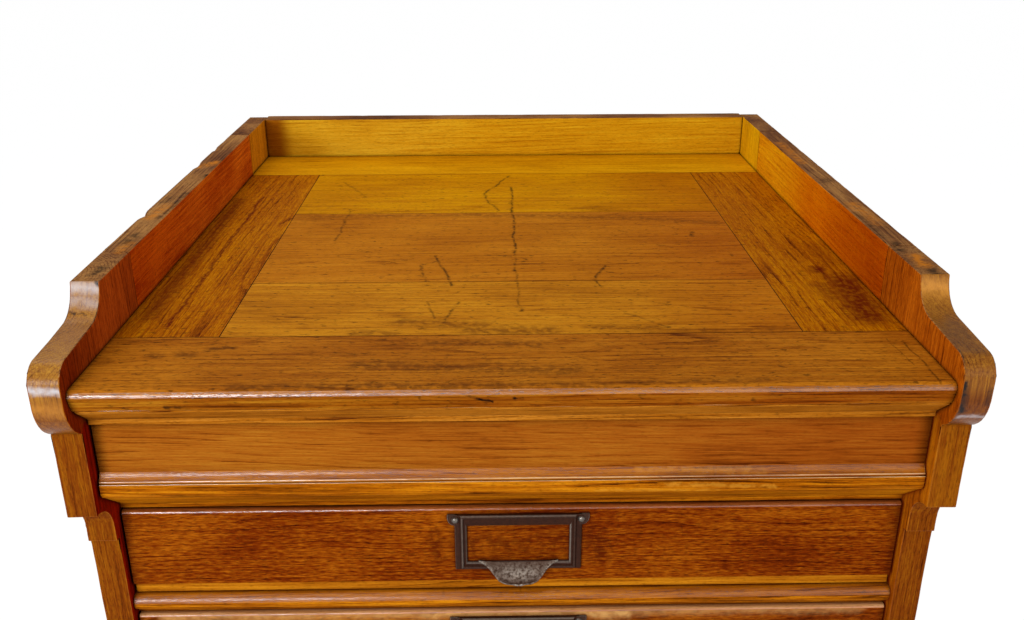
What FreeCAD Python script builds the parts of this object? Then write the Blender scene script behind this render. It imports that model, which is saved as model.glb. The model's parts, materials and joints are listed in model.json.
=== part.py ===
import FreeCAD, Part
import math
import os
import re
import Sketcher

# A floor-standing filing chest in oak: shallow drawers, one above another, under a top with a low
# gallery on three sides. Sizes are in millimetres. In every rule below, x is taken from the middle
# of the chest, y back from the faces of the two front stiles, and z up from the floor.

DRAWERS = 7
BACK_BOARDS = 5
TAILS = 3
TOUCH = 0.0001

SIZES = {
    # the whole chest
    "chest_wide": 644.0,
    "chest_deep": 664.0,
    "plinth_tall": 90.25,
    "gallery_rise": 47.4,
    # side frames
    "stile_thick": 22.0,
    "front_stile_wide": 137.0,
    "rear_stile_wide": 109.0,
    "rear_stile_round": 8.0,
    "side_rail_tall": 107.0,
    "mid_rail_tall": 80.0,
    "panel_thick": 8.0,
    "panel_groove": 8.0,
    # outline of the front stile: crest, hollow, nose, chin, block, cove and shaft
    "crest_back": 70.5,
    "hollow_back": 46.0,
    "hollow_rise": 23.5,
    "hollow_round": 26.0,
    "nose_out": 19.3,
    "nose_rise": 4.0,
    "nose_round": 16.3,
    "chin_drop": 11.0,
    "chin_round": 36.0,
    "throat_drop": 39.2,
    "block_drop": 107.8,
    "cove_round": 24.5,
    "cove_fillet": 13.0,
    "shaft_back": 28.5,
    # boards of the top
    "top_thick": 16.5,
    "nosing_out": 14.0,
    "nosing_round": 5.5,
    "nosing_foot": 9.8,
    "front_board_back": 76.0,
    "end_board_wide": 80.0,
    "front_plank_wide": 113.0,
    "rear_plank_wide": 159.0,
    "top_back_wide": 92.0,
    "bearer_wide": 60.0,
    "bearer_tall": 22.0,
    # bed moulding, frieze and cornice, which leave a small gap at each end
    "left_end_gap": 1.3,
    "right_end_gap": 0.7,
    "bed_tall": 20.5,
    "bed_out": 20.5,
    "bed_lip": 1.8,
    "bed_fillet_tall": 4.5,
    "bed_fillet_out": 3.3,
    "frieze_face": 12.0,
    "frieze_thick": 18.0,
    "frieze_tall": 48.5,
    "flare_out": 4.0,
    "flare_tall": 9.5,
    "flare_lip": 2.0,
    "flare_round": 9.0,
    "cornice_face": 7.5,
    "cornice_tall": 36.5,
    "cornice_flat": 7.5,
    "cornice_drop": 13.5,
    "cornice_set": 4.5,
    "cornice_round": 7.6,
    # rails, runners and stops
    "rail_front": 40.0,
    "rail_deep": 60.0,
    "rail_tall": 18.5,
    "rail_lip": 3.75,
    "bead_round": 7.35,
    "runner_wide": 40.0,
    "stop_apart": 300.0,
    "stop_wide": 34.0,
    "stop_deep": 12.0,
    "stop_tall": 6.0,
    "stop_clear": 0.3,
    # plinth, back, bottom and blocks
    "plinth_front": 34.0,
    "plinth_thick": 22.0,
    "back_thick": 22.0,
    "back_rail_drop": 60.0,
    "back_board_thick": 12.0,
    "bottom_thick": 8.0,
    "block_leg": 22.0,
    "block_wide": 50.0,
    "block_apart": 110.0,
    "corner_block": 30.0,
    "corner_block_tall": 60.0,
    # one drawer
    "drawer_tall": 77.0,
    "drawer_gap": 0.75,
    "side_gap": 1.5,
    "run_clear": 0.3,
    "front_face": 35.7,
    "front_thick": 22.0,
    "front_arris": 2.5,
    "band_tall": 9.7,
    "band_step": 3.5,
    "side_thick": 12.0,
    "side_tall": 75.0,
    "drawer_behind": 16.0,
    "tail_long": 15.0,
    "tail_wide": 17.0,
    "tail_neck": 13.0,
    "base_thick": 6.0,
    "base_rise": 10.0,
    "base_groove": 6.0,
    "base_past_back": 10.0,
    "back_housing": 4.0,
    "back_inset": 15.0,
    "back_tall": 52.0,
    # label frame and finger pull, one casting, and its two screws
    "pull_offset": 3.5,
    "pull_drop": 5.5,
    "pull_wide": 97.7,
    "pull_tall": 50.0,
    "pull_plate": 2.2,
    "pull_ridge": 4.5,
    "ridge_side_inset": 4.0,
    "ridge_end_inset": 2.2,
    "ridge_chamfer": 1.4,
    "window_wide": 79.3,
    "window_tall": 36.6,
    "ear_out": 5.65,
    "ear_edge": 3.0,
    "ear_tall": 9.5,
    "ear_round": 6.5,
    "tongue_wide": 62.0,
    "tongue_waist_wide": 44.0,
    "tongue_waist_out": 4.5,
    "tongue_tip_wide": 29.0,
    "tongue_tip_out": 11.6,
    "tongue_tip_round": 26.0,
    "tongue_flare_round": 9.0,
    "tongue_long": 17.0,
    "tongue_drop": 10.2,
    "tongue_round": 17.0,
    "tongue_under_round": 19.0,
    "tongue_root_thick": 3.5,
    "tongue_lip_deep": 1.4,
    "tongue_lip_tall": 1.8,
    "screw_apart": 97.0,
    "screw_drop": 4.0,
    "screw_head_round": 3.0,
    "screw_head_tall": 2.2,
    "screw_dome_round": 3.2,
    "screw_shank_round": 1.5,
    "screw_long": 16.0,
}

doc = FreeCAD.newDocument("filing_chest")
sheet = doc.addObject("Spreadsheet::Sheet", "sizes")
for row, (name, size) in enumerate(SIZES.items(), start=1):
    sheet.set(f"A{row}", name)
    sheet.set(f"B{row}", str(size))
    sheet.setAlias(f"B{row}", name)
doc.recompute()

# heights and widths that several pieces share
INNER = "(chest_wide / 2 - stile_thick)"
PITCH = "(drawer_tall + 2 * drawer_gap + rail_tall)"
OPENINGS_TOP = f"(plinth_tall + {DRAWERS} * {PITCH})"
CORNICE_FOOT = f"({OPENINGS_TOP} + rail_lip)"
FRIEZE_FOOT = f"({CORNICE_FOOT} + cornice_tall)"
BED_FOOT = f"({FRIEZE_FOOT} + frieze_tall)"
TOP_UNDER = f"({BED_FOOT} + bed_tall)"
TOP = f"({TOP_UNDER} + top_thick)"
CREST = f"({TOP} + gallery_rise)"
BACK_FACE = "(chest_deep - back_thick)"
RAIL_BACK = "(rail_front + rail_deep)"

nodes = []


def rule(text):
    """A rule with each size's name read from the sheet."""
    return re.sub(r"[a-z]\w+", lambda word: f"sizes.{word[0]}" if word[0] in SIZES else word[0], text)


def place(piece, x, y, z):
    """Sets a piece down in the chest, whose origin is under the middle of its whole depth."""
    piece.setExpression(".Placement.Base.x", rule(x))
    piece.setExpression(".Placement.Base.y", rule(f"{y} - (chest_deep - nose_out) / 2"))
    piece.setExpression(".Placement.Base.z", rule(z))


def board(name, x, y, z, wide, deep, tall):
    """A plain squared board, from its lowest left front corner."""
    piece = doc.addObject("Part::Box", name)
    piece.setExpression("Length", rule(wide))
    piece.setExpression("Width", rule(deep))
    piece.setExpression("Height", rule(tall))
    place(piece, x, y, z)
    return piece


def group(name, pieces):
    """Several solids under one name."""
    piece = doc.addObject("Part::Compound", name)
    piece.Links = pieces
    return piece


def cut(name, base, tools):
    """A piece with the room cut out that other pieces take up in it."""
    piece = doc.addObject("Part::Cut", name)
    piece.Base = base
    piece.Tool = tools[0] if len(tools) == 1 else group(f"{name}_room", tools)
    return piece


def node(piece):
    """Marks a piece as one that the chest is put together from."""
    nodes.append(piece)
    return piece


def arc_middle(start, end, radius):
    """The middle of an arc from start to end. A negative radius bends it inward, a hollow."""
    across = end - start
    half = across.Length / 2
    rise = abs(radius) - math.sqrt(max(radius * radius - half * half, 0))
    outward = FreeCAD.Vector(across.y, -across.x, 0).normalize()
    return (start + end) / 2 + outward * math.copysign(rise, radius)


def outline(sketch, corners):
    """
    Draws a closed line anticlockwise through corners, each given as two rules, and ties it to the
    sheet. A third rule is the radius of the round edge that comes to that corner, negative if hollow.
    """
    points = [FreeCAD.Vector(*(sketch.evalExpression(rule(text)) for text in corner[:2]), 0)
              for corner in corners]
    edges = []
    for index, point in enumerate(points):
        following = (index + 1) % len(points)
        if len(corners[following]) == 3:
            radius = sketch.evalExpression(rule(corners[following][2]))
            middle = arc_middle(point, points[following], radius)
            edge = sketch.addGeometry(Part.Arc(point, middle, points[following]))
            ends = (1, 2) if sketch.getPoint(edge, 1).isEqual(point, TOUCH) else (2, 1)
            tie = sketch.addConstraint(Sketcher.Constraint("Radius", edge, abs(radius)))
            sketch.setExpression(f"Constraints[{tie}]", rule(f"abs({corners[following][2]})"))
        else:
            edge = sketch.addGeometry(Part.LineSegment(point, points[following]))
            ends = (1, 2)
        edges.append((edge, *ends))
    before = edges[-1:] + edges
    for (edge, start, _), (previous, _, end), corner, point in zip(edges, before, corners, points):
        sketch.addConstraint(Sketcher.Constraint("Coincident", previous, end, edge, start))
        for kind, text, value in (("DistanceX", corner[0], point.x), ("DistanceY", corner[1], point.y)):
            tie = sketch.addConstraint(Sketcher.Constraint(kind, -1, 1, edge, start, value))
            sketch.setExpression(f"Constraints[{tie}]", rule(text))


def sketch_on(body, role, name, *loops):
    """A sketch of one or more closed lines on one of the body's own origin planes."""
    plane = next(feature for feature in body.Origin.OriginFeatures if feature.Role == role)
    sketch = body.newObject("Sketcher::SketchObject", name)
    sketch.AttachmentSupport = [(plane, "")]
    sketch.MapMode = "FlatFace"
    for corners in loops:
        outline(sketch, corners)
    return sketch


def pad(body, sketch, name, length):
    """Raises a sketch off its plane into a solid."""
    feature = body.newObject("PartDesign::Pad", name)
    feature.Profile = sketch
    feature.setExpression("Length", rule(length))
    body.Tip = feature
    return feature


def moulding(name, corners, left, wide):
    """A piece of one section, given as y and z, that runs across the chest from its left end."""
    body = doc.addObject("PartDesign::Body", name)
    pad(body, sketch_on(body, "YZ_Plane", f"{name}_section", corners), f"{name}_run", wide)
    place(body, left, "0", "0")
    return body


def side_frame(hand, left):
    """
    One side of the chest: two stiles with rails tenoned between them and two panels held in grooves.
    The front stile ends in a scroll over a block and a cove, and the frame rises above the top.
    """
    mid = f"((plinth_tall + {CREST} - side_rail_tall) / 2)"
    rails_long = "(chest_deep - rear_stile_wide - front_stile_wide)"
    panels = group(f"side_{hand}_panels", [
        board(f"side_{hand}_{place_name}_panel", f"{left} + (stile_thick - panel_thick) / 2",
              "front_stile_wide - panel_groove", f"{foot} - panel_groove",
              "panel_thick", f"{rails_long} + 2 * panel_groove", f"{head} - {foot} + 2 * panel_groove")
        for place_name, foot, head in (
            ("lower", "plinth_tall", f"({mid} - mid_rail_tall / 2)"),
            ("upper", f"({mid} + mid_rail_tall / 2)", f"({CREST} - side_rail_tall)"))])
    front_outline = [
        ("shaft_back", "0"),
        ("front_stile_wide", "0"),
        ("front_stile_wide", CREST),
        ("crest_back", CREST),
        ("hollow_back", f"{TOP} + hollow_rise", "-hollow_round"),
        ("nose_round - nose_out", f"{TOP} + nose_rise + nose_round"),
        ("-nose_out", f"{TOP} + nose_rise", "nose_round"),
        ("-nose_out", f"{TOP} - chin_drop"),
        ("0", f"{TOP} - throat_drop", "chin_round"),
        ("0", f"{TOP} - block_drop"),
        ("cove_round", f"{TOP} - block_drop - cove_round", "-cove_round"),
        ("cove_round", f"{TOP} - block_drop - cove_round - cove_fillet"),
        ("shaft_back", f"{TOP} - block_drop - cove_round - cove_fillet"),
    ]
    rear_outline = [
        ("chest_deep - rear_stile_wide", "0"),
        ("chest_deep", "0"),
        ("chest_deep", f"{CREST} - rear_stile_round"),
        ("chest_deep - rear_stile_round", CREST, "rear_stile_round"),
        ("chest_deep - rear_stile_wide", CREST),
    ]
    rails = group(f"side_{hand}_rail_boards", [
        board(f"side_{hand}_{place_name}_rail", left, "front_stile_wide", foot,
              "stile_thick", rails_long, tall)
        for place_name, foot, tall in (
            ("bottom", "0", "plinth_tall"),
            ("middle", f"{mid} - mid_rail_tall / 2", "mid_rail_tall"),
            ("top", f"{CREST} - side_rail_tall", "side_rail_tall"))])
    front = moulding(f"side_{hand}_front_board", front_outline, left, "stile_thick")
    rear = moulding(f"side_{hand}_rear_board", rear_outline, left, "stile_thick")
    node(cut(f"side_{hand}_front_stile", front, [panels]))
    node(cut(f"side_{hand}_rear_stile", rear, [panels]))
    node(cut(f"side_{hand}_rails", rails, [panels]))
    node(panels)


def top_boards():
    """The top, framed like a table: a nosed front board, two end boards and a back board round three
    planks, on two bearers, with the gallery's back board standing behind."""
    back_seam = f"({BACK_FACE} - top_back_wide)"
    planks_wide = f"(2 * ({INNER} - end_board_wide))"
    node(moulding("top_front_board", [
        ("-nosing_foot", TOP_UNDER),
        ("front_board_back", TOP_UNDER),
        ("front_board_back", TOP),
        ("nosing_round - nosing_out", TOP),
        ("-nosing_out", f"{TOP} - nosing_round", "nosing_round"),
    ], f"-{INNER}", f"2 * {INNER}"))
    node(group("top_side_boards", [
        board(f"top_{hand}_board", left, "front_board_back", TOP_UNDER,
              "end_board_wide", f"{back_seam} - front_board_back", "top_thick")
        for hand, left in (("left", f"-{INNER}"), ("right", f"{INNER} - end_board_wide"))]))
    node(group("top_planks", [
        board(f"top_{place_name}_plank", f"-{planks_wide} / 2", front, TOP_UNDER,
              planks_wide, deep, "top_thick")
        for place_name, front, deep in (
            ("front", "front_board_back", "front_plank_wide"),
            ("middle", "front_board_back + front_plank_wide",
             f"{back_seam} - front_board_back - front_plank_wide - rear_plank_wide"),
            ("rear", f"{back_seam} - rear_plank_wide", "rear_plank_wide"))]))
    node(board("top_back_board", f"-{INNER}", back_seam, TOP_UNDER,
               f"2 * {INNER}", "top_back_wide", "top_thick"))
    node(board("gallery_back_board", f"-{INNER}", BACK_FACE, f"{TOP} - back_rail_drop",
               f"2 * {INNER}", "back_thick", "back_rail_drop + gallery_rise"))
    bearer_front = "(frieze_face + frieze_thick)"
    node(group("top_bearers", [
        board(f"top_{hand}_bearer", f"{seam} - bearer_wide / 2", bearer_front, f"{TOP_UNDER} - bearer_tall",
              "bearer_wide", f"{BACK_FACE} - {bearer_front}", "bearer_tall")
        for hand, seam in (("left", f"end_board_wide - {INNER}"), ("right", f"{INNER} - end_board_wide"))]))


def front_mouldings():
    """Under the nosing: a sloped bed moulding, a plain frieze with a flared foot, and an undercut
    cornice whose slope runs back to the drawers."""
    left = f"left_end_gap - {INNER}"
    wide = f"2 * {INNER} - left_end_gap - right_end_gap"
    bed_face = "(frieze_face - bed_out)"
    node(moulding("bed_moulding", [
        ("frieze_face - bed_fillet_out", BED_FOOT),
        ("frieze_face", BED_FOOT),
        ("frieze_face", TOP_UNDER),
        (bed_face, TOP_UNDER),
        (bed_face, f"{TOP_UNDER} - bed_lip"),
        ("frieze_face - bed_fillet_out", f"{BED_FOOT} + bed_fillet_tall"),
    ], left, wide))
    node(moulding("frieze_board", [
        ("frieze_face - flare_out", FRIEZE_FOOT),
        ("frieze_face + frieze_thick", FRIEZE_FOOT),
        ("frieze_face + frieze_thick", TOP_UNDER),
        ("frieze_face", TOP_UNDER),
        ("frieze_face", f"{FRIEZE_FOOT} + flare_tall"),
        ("frieze_face - flare_out", f"{FRIEZE_FOOT} + flare_lip", "-flare_round"),
    ], left, wide))
    node(moulding("frieze_moulding", [
        ("cornice_face + cornice_set", f"{FRIEZE_FOOT} - cornice_drop", "cornice_round"),
        ("rail_front", CORNICE_FOOT),
        ("rail_front", FRIEZE_FOOT),
        ("cornice_face", FRIEZE_FOOT),
        ("cornice_face", f"{FRIEZE_FOOT} - cornice_flat"),
    ], left, wide))


def level(number):
    """The underside of a rail, counted up from the bottom one."""
    return f"(plinth_tall + {number} * {PITCH})"


def opening_floor(number):
    """The top of the rail under a drawer, counted down from the top drawer."""
    return f"({level(DRAWERS - number)} + rail_tall)"


def rails_and_runners():
    """A rail under every drawer, beaded in front, and a plain one over the top drawer. Behind each
    rail runs a pair of runners, which are also the kickers of the drawer below."""
    rails = []
    for number in range(DRAWERS):
        foot = level(number)
        head = f"({foot} + rail_tall)"
        rails.append(moulding(f"rail_{number}", [
            ("rail_front", foot),
            (RAIL_BACK, foot),
            (RAIL_BACK, head),
            ("rail_front", head),
            ("rail_front - bead_round", f"{head} - bead_round", "bead_round"),
            ("rail_front", f"{head} - 2 * bead_round", "bead_round"),
        ], f"-{INNER}", f"2 * {INNER}"))
    rails.append(board(f"rail_{DRAWERS}", f"-{INNER}", "rail_front", OPENINGS_TOP,
                       f"2 * {INNER}", "rail_deep", "rail_tall"))
    node(group("front_rails", rails))
    node(group("drawer_runners", [
        board(f"runner_{hand}_{number}", left, RAIL_BACK, level(number),
              "runner_wide", f"{BACK_FACE} - {RAIL_BACK}", "rail_tall")
        for number in range(DRAWERS + 1)
        for hand, left in (("left", f"-{INNER}"), ("right", f"{INNER} - runner_wide"))]))
    node(group("drawer_stops", [
        board(f"stop_{hand}_{number}", f"{middle} - stop_wide / 2", "front_face + front_thick + stop_clear",
              opening_floor(number), "stop_wide", "stop_deep", "stop_tall")
        for number in range(1, DRAWERS + 1)
        for hand, middle in (("left", "-stop_apart / 2"), ("right", "stop_apart / 2"))]))


def plinth_and_back():
    """The plinth board under the bottom rail, the upright boards of the back with a rail below them,
    the bottom board, and the glue blocks behind the frieze and in the plinth's corners."""
    node(board("plinth_rail", f"-{INNER}", "plinth_front", "0",
               f"2 * {INNER}", "plinth_thick", "plinth_tall"))
    node(board("back_bottom_rail", f"-{INNER}", BACK_FACE, "0",
               f"2 * {INNER}", "back_thick", "plinth_tall"))
    wide = f"(2 * {INNER} / {BACK_BOARDS})"
    node(group("back_boards", [
        board(f"back_board_{number}", f"{number} * {wide} - {INNER}",
              f"{BACK_FACE} + (back_thick - back_board_thick) / 2", "plinth_tall",
              wide, "back_board_thick", f"{TOP} - back_rail_drop - plinth_tall")
        for number in range(BACK_BOARDS)]))
    plinth_back = "(plinth_front + plinth_thick)"
    bottom_under = "(plinth_tall - bottom_thick)"
    node(board("bottom_board", f"-{INNER}", plinth_back, bottom_under,
               f"2 * {INNER}", f"{BACK_FACE} - {plinth_back}", "bottom_thick"))
    frieze_back = "(frieze_face + frieze_thick)"
    blocks = [
        moulding(f"frieze_block_{number}", [
            (frieze_back, f"{TOP_UNDER} - block_leg"),
            (f"{frieze_back} + block_leg", TOP_UNDER),
            (frieze_back, TOP_UNDER),
        ], f"{number} * block_apart - block_wide / 2", "block_wide")
        for number in (-1, 0, 1)]
    blocks += [
        board(f"plinth_block_{hand}", left, plinth_back, f"{bottom_under} - corner_block_tall",
              "corner_block", "corner_block", "corner_block_tall")
        for hand, left in (("left", f"-{INNER}"), ("right", f"{INNER} - corner_block"))]
    node(group("glue_blocks", blocks))


# The rest makes one drawer, standing in its opening, whose floor is at height 0.
DRAWER_HALF = f"({INNER} - side_gap)"
SIDE_FOOT = "run_clear"
SIDE_END = f"({BACK_FACE} - drawer_behind)"
FRONT_BACK = "(front_face + front_thick)"
BASE_TOP = f"({SIDE_FOOT} + base_rise + base_thick)"
PULL_TOP = "(drawer_gap + drawer_tall - pull_drop)"
WINDOW_FOOT = f"({PULL_TOP} - (pull_tall + window_tall) / 2)"


def drawer_side(hand, left):
    """A drawer side, whose front end is cut into dovetails."""
    corners = [(SIDE_END, f"{SIDE_FOOT} + side_tall"), (FRONT_BACK, f"{SIDE_FOOT} + side_tall")]
    for tail in reversed(range(TAILS)):
        middle = f"({SIDE_FOOT} + {tail + 0.5} * side_tall / {TAILS})"
        corners += [
            (FRONT_BACK, f"{middle} + tail_neck / 2"),
            (f"{FRONT_BACK} - tail_long", f"{middle} + tail_wide / 2"),
            (f"{FRONT_BACK} - tail_long", f"{middle} - tail_wide / 2"),
            (FRONT_BACK, f"{middle} - tail_neck / 2"),
        ]
    corners += [(FRONT_BACK, SIDE_FOOT), (SIDE_END, SIDE_FOOT)]
    return moulding(f"drawer_{hand}_side", corners, left, "side_thick")


def pull_screw(hand, x):
    """A dome-headed wood screw through an upper corner of the pull."""
    body = doc.addObject("PartDesign::Body", f"pull_{hand}_screw")
    section = sketch_on(body, "XY_Plane", f"pull_{hand}_screw_section", [
        ("0", "-screw_head_tall"),
        ("screw_head_round", "0", "screw_dome_round"),
        ("screw_shank_round", "0"),
        ("screw_shank_round", "screw_long"),
        ("0", "screw_long"),
    ])
    turn = body.newObject("PartDesign::Revolution", f"pull_{hand}_screw_turn")
    turn.Profile = section
    turn.ReferenceAxis = (section, ["V_Axis"])
    turn.Angle = 360
    body.Tip = turn
    place(body, x, "front_face - pull_plate", f"{PULL_TOP} - screw_drop")
    return body


def rectangle(wide, foot, head):
    """The four corners of an upright rectangle about the middle of the pull."""
    return [(f"pull_offset + {side} * {wide} / 2", height)
            for side, height in ((1, foot), (1, head), (-1, head), (-1, foot))]


def pull_frame():
    """The label frame: a plate with an ear at each upper corner, and a raised ridge round its window."""
    body = doc.addObject("PartDesign::Body", "pull_frame")
    foot = f"{PULL_TOP} - pull_tall"
    window = rectangle("window_wide", WINDOW_FOOT, f"{WINDOW_FOOT} + window_tall")
    right = "(pull_offset + pull_wide / 2)"
    left = "(pull_offset - pull_wide / 2)"
    plate = sketch_on(body, "XZ_Plane", "pull_plate_outline", [
        (right, foot),
        (right, f"{PULL_TOP} - ear_tall"),
        (f"{right} + ear_out", f"{PULL_TOP} - ear_edge", "ear_round"),
        (f"{right} + ear_out", PULL_TOP),
        (f"{left} - ear_out", PULL_TOP),
        (f"{left} - ear_out", f"{PULL_TOP} - ear_edge"),
        (left, f"{PULL_TOP} - ear_tall", "ear_round"),
        (left, foot),
    ], window)
    pad(body, plate, "pull_plate_pad", "pull_plate")
    ridge = sketch_on(body, "XZ_Plane", "pull_ridge_outline",
                      rectangle("(pull_wide - 2 * ridge_side_inset)",
                                f"{foot} + ridge_end_inset", f"{PULL_TOP} - ridge_end_inset"), window)
    raised = pad(body, ridge, "pull_ridge_pad", "pull_ridge")
    doc.recompute()
    chamfer = body.newObject("PartDesign::Chamfer", "pull_ridge_slopes")
    chamfer.Base = (raised, [f"Edge{number}" for number, edge in enumerate(raised.Shape.Edges, start=1)
                             if abs(edge.BoundBox.YMax + sheet.pull_ridge) < TOUCH])
    chamfer.setExpression("Size", rule("ridge_chamfer"))
    body.Tip = chamfer
    place(body, "0", "front_face", "0")
    return body


def pull_tongue():
    """The finger pull under the window: a dished lip with ogee sides, where its section and its plan
    outline meet."""
    root = "(front_face - pull_plate)"
    tip = "(front_face - tongue_long - 2 * tongue_lip_deep)"
    section = moulding("tongue_section", [
        ("front_face", WINDOW_FOOT),
        (root, WINDOW_FOOT),
        (tip, f"{WINDOW_FOOT} - tongue_drop", "-tongue_round"),
        (f"{tip} + tongue_lip_deep", f"{WINDOW_FOOT} - tongue_drop - tongue_lip_tall"),
        (root, f"{WINDOW_FOOT} - tongue_root_thick", "tongue_under_round"),
        ("front_face", f"{WINDOW_FOOT} - tongue_root_thick"),
    ], "pull_offset - tongue_wide / 2", "tongue_wide")
    plan = doc.addObject("PartDesign::Body", "tongue_plan")
    right = [
        ("tongue_tip_wide", f"{root} - tongue_tip_out", "tongue_tip_round"),
        ("tongue_waist_wide", f"{root} - tongue_waist_out"),
        ("tongue_wide", root, "-tongue_flare_round"),
        ("tongue_wide", "front_face"),
    ]
    left = [
        ("tongue_wide", "front_face"),
        ("tongue_wide", root),
        ("tongue_waist_wide", f"{root} - tongue_waist_out", "-tongue_flare_round"),
        ("tongue_tip_wide", f"{root} - tongue_tip_out"),
    ]
    corners = [(f"pull_offset + {side} * {wide} / 2", *rest)
               for side, half in ((1, right), (-1, left)) for wide, *rest in half]
    sketch = sketch_on(plan, "XY_Plane", "tongue_plan_outline", corners)
    under = "(tongue_drop + 2 * tongue_lip_tall)"
    pad(plan, sketch, "tongue_plan_pad", f"{under} + tongue_lip_tall")
    place(plan, "0", "0", f"{WINDOW_FOOT} - {under}")
    tongue = doc.addObject("Part::Common", "pull_tongue")
    tongue.Base = section
    tongue.Tool = plan
    return tongue


def drawer_pieces():
    """The pieces of one drawer by the endings of their names, each cut to take the others."""
    sides = group("drawer_sides", [drawer_side("left", f"-{DRAWER_HALF}"),
                                   drawer_side("right", f"{DRAWER_HALF} - side_thick")])
    base_half = f"({DRAWER_HALF} - side_thick + base_groove)"
    base_end = f"({SIDE_END} - base_past_back / 2)"
    base = board("drawer_base", f"-{base_half}", f"{FRONT_BACK} - base_groove", f"{BASE_TOP} - base_thick",
                 f"2 * {base_half}", f"{base_end} - {FRONT_BACK} + base_groove", "base_thick")
    back_half = f"({DRAWER_HALF} - side_thick + back_housing)"
    back = board("drawer_back", f"-{back_half}", f"{SIDE_END} - back_inset - side_thick", BASE_TOP,
                 f"2 * {back_half}", "side_thick", "back_tall")
    screws = group("pull_screws", [pull_screw("left", "pull_offset - screw_apart / 2"),
                                   pull_screw("right", "pull_offset + screw_apart / 2")])
    front = moulding("drawer_front_board", [
        ("front_face + band_step", "drawer_gap"),
        (FRONT_BACK, "drawer_gap"),
        (FRONT_BACK, "drawer_gap + drawer_tall"),
        ("front_face + front_arris", "drawer_gap + drawer_tall"),
        ("front_face", "drawer_gap + drawer_tall - front_arris", "front_arris"),
        ("front_face", "drawer_gap + band_tall"),
        ("front_face + band_step", "drawer_gap + band_tall"),
    ], f"-{DRAWER_HALF}", f"2 * {DRAWER_HALF}")
    casting = doc.addObject("Part::Fuse", "pull_casting")
    casting.Base = pull_frame()
    casting.Tool = pull_tongue()
    return {
        "front": cut("drawer_front", front, [sides, base, screws]),
        "box": group("drawer_box", [cut("drawer_grooved_sides", sides, [base, back]), back]),
        "bottom": base,
        "pull": cut("drawer_pull", casting, [screws]),
        "screws": screws,
    }


def drawers():
    """Every drawer is the same, so each takes its pieces from one pattern at its own height."""
    pattern = drawer_pieces()
    for number in range(1, DRAWERS + 1):
        for ending, piece in pattern.items():
            copy = node(group(f"drawer_{number}_{ending}", [piece]))
            copy.setExpression(".Placement.Base.z", rule(opening_floor(number)))


side_frame("left", "-chest_wide / 2")
side_frame("right", INNER)
top_boards()
front_mouldings()
rails_and_runners()
plinth_and_back()
drawers()
doc.recompute()

for thing in doc.Objects:
    if {"Invalid", "Error"} & set(thing.State):
        raise RuntimeError(f"{thing.Label} was not made: {thing.State}")
for piece in nodes:
    if piece.Shape.isNull() or not piece.Shape.isValid() or not piece.Shape.Solids:
        raise RuntimeError(f"{piece.Label} has no sound shape")

os.makedirs("parts", exist_ok=True)
for piece in nodes:
    piece.Shape.exportStep(f"parts/{piece.Label}.step")
    print(f"{piece.Label}: solids {len(piece.Shape.Solids)}, volume {piece.Shape.Volume / 1000:.1f} cm3")
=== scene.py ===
import json
import math
import random

import bmesh
import bpy
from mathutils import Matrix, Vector, noise

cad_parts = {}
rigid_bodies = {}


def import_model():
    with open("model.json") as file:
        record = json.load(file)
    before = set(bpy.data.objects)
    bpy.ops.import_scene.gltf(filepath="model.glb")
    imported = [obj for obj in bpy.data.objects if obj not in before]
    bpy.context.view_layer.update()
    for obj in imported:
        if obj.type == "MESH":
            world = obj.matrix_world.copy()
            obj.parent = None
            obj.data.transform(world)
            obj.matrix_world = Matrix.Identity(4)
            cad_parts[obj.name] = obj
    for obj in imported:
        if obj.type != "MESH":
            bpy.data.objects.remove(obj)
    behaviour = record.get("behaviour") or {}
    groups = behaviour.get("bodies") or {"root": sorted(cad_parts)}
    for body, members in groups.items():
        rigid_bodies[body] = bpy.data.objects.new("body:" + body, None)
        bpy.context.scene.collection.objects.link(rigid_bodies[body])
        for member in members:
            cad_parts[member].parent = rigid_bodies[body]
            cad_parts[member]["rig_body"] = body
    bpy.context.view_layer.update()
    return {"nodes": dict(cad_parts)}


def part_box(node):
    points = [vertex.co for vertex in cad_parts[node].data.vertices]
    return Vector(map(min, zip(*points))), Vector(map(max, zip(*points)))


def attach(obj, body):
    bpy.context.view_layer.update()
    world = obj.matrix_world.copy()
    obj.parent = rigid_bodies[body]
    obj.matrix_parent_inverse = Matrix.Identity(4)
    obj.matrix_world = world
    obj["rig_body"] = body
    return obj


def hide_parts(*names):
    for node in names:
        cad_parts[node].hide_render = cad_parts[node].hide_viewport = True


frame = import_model()

# Side frames. Each is of 22 mm oak, its rails mortised into a front and a rear stile, with panels in grooves.
# It runs up past the top as a gallery, and the front stile ends in a sawn and filed scroll. All of it is
# stained, shellacked and waxed.


def linear(shade):
    """A colour written as sRGB hex, in the linear values that a shader takes."""
    values = [int(shade[at:at + 2], 16) / 255 for at in (0, 2, 4)]
    return [v / 12.92 if v <= 0.04045 else ((v + 0.055) / 1.055) ** 2.4 for v in values] + [1.0]


def add(tree, kind, inputs={}, out=0, **settings):
    """Adds a node with its settings, and with values or earlier outputs for its inputs. Gives an output."""
    node = tree.nodes.new(kind)
    for setting, value in settings.items():
        setattr(node, setting, value)
    for socket, value in inputs.items():
        if isinstance(value, bpy.types.NodeSocket):
            tree.links.new(value, node.inputs[socket])
        else:
            node.inputs[socket].default_value = value
    return node.outputs[out] if len(node.outputs) else node


def new_group(name, inputs, outputs):
    """A node group with its sockets, listed by kind. Gives its tree and the outputs of what it is given."""
    tree = bpy.data.node_groups.new(name, "ShaderNodeTree")
    for in_out, sockets in (("INPUT", inputs), ("OUTPUT", outputs)):
        for kind, labels in sockets:
            for label in labels:
                tree.interface.new_socket(label, in_out=in_out, socket_type=f"NodeSocket{kind}")
    return tree, tree.nodes.new("NodeGroupInput").outputs


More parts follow.
